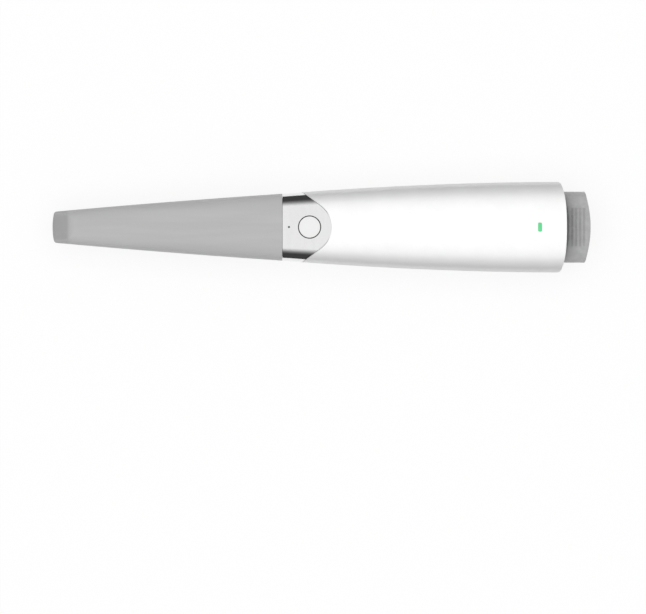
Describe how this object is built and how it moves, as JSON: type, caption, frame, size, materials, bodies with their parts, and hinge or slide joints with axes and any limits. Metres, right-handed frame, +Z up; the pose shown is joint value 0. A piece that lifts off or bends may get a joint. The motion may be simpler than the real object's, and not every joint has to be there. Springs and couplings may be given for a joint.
{
  "type": "intraoral scanner",
  "caption": "Cordless intraoral scanner wand: slide-off mirror tip, polished collar with a push button, moulded handle and pull-out battery.",
  "frame": {"origin": "centre of the bounding box on the table plane, under the front of the handle", "axes": "+X from the tip end to the battery, +Z up from the resting face to the button, +Y to the left of the wand"},
  "size_m": [0.269, 0.0452, 0.0384],
  "materials": {
    "tip_grey": "satin",
    "mirror_face": "polished",
    "polished_metal": "polished",
    "white_shell": "gloss",
    "battery_grey": "satin",
    "dark_plastic": "matt",
    "clear_glass": "polished",
    "seal_rubber": "matt",
    "spring_steel": "satin",
    "bench_metal": "machined",
    "lens_black": "anodised",
    "board_green": "coated",
    "antenna_gold": "plated",
    "cell_wrap": "wrapped",
    "light_green": "translucent"
  },
  "bodies": {
    "handle": {"collar": "polished_metal", "upper_cover": "white_shell", "lower_cover": "white_shell", "rear_bezel": "white_shell", "nose_barrel": "dark_plastic", "battery_bay": "dark_plastic", "contact_block": "dark_plastic", "button_switch": "dark_plastic", "nose_window": "clear_glass", "nose_seal": "seal_rubber", "tip_detent": "spring_steel", "release_pin": "spring_steel", "release_spring": "spring_steel", "frame_screws": "spring_steel", "shield_can": "spring_steel", "chassis": "bench_metal", "heat_sink": "bench_metal", "projector_module": "lens_black", "projector_lens": "lens_black", "left_camera_lens": "lens_black", "right_camera_lens": "lens_black", "button_board": "board_green", "left_camera_board": "board_green", "right_camera_board": "board_green", "main_board": "board_green", "contact_pins": "antenna_gold", "antenna": "antenna_gold", "status_light": "light_green", "front_light": "light_green"},
    "tip": {"tip_sleeve": "tip_grey", "tip_end_cover": "tip_grey", "tip_mirror": "mirror_face"},
    "button": {"scan_button": "polished_metal", "switch_plunger": "dark_plastic"},
    "battery": {"battery_grip": "battery_grey", "battery_case": "dark_plastic", "battery_latch": "spring_steel", "battery_cell": "cell_wrap", "battery_board": "board_green"},
    "release": {"battery_release": "white_shell"}
  },
  "joints": [
    {"name": "tip_slide", "type": "slide", "parent": "handle", "child": "tip", "axis": [-1, 0, 0], "range_m": [0, 0.095], "deforming": ["tip_detent"]},
    {"name": "button_press", "type": "slide", "parent": "handle", "child": "button", "axis": [0, 0, -1], "range_m": [0, 0.0005], "stiffness_N_per_m": 1500, "springref_m": -0.0003},
    {"name": "battery_slide", "type": "slide", "parent": "handle", "child": "battery", "axis": [1, 0, 0], "range_m": [0, 0.08], "deforming": ["battery_latch"]},
    {"name": "release_press", "type": "hinge", "parent": "handle", "child": "release", "pos_m": [0.0587, 0, 0.0016], "axis": [0, -1, 0], "range_deg": [0, 2.4], "stiffness_Nm_per_rad": 0.6, "springref_deg": -1.72, "deforming": ["release_spring"]}
  ]
}
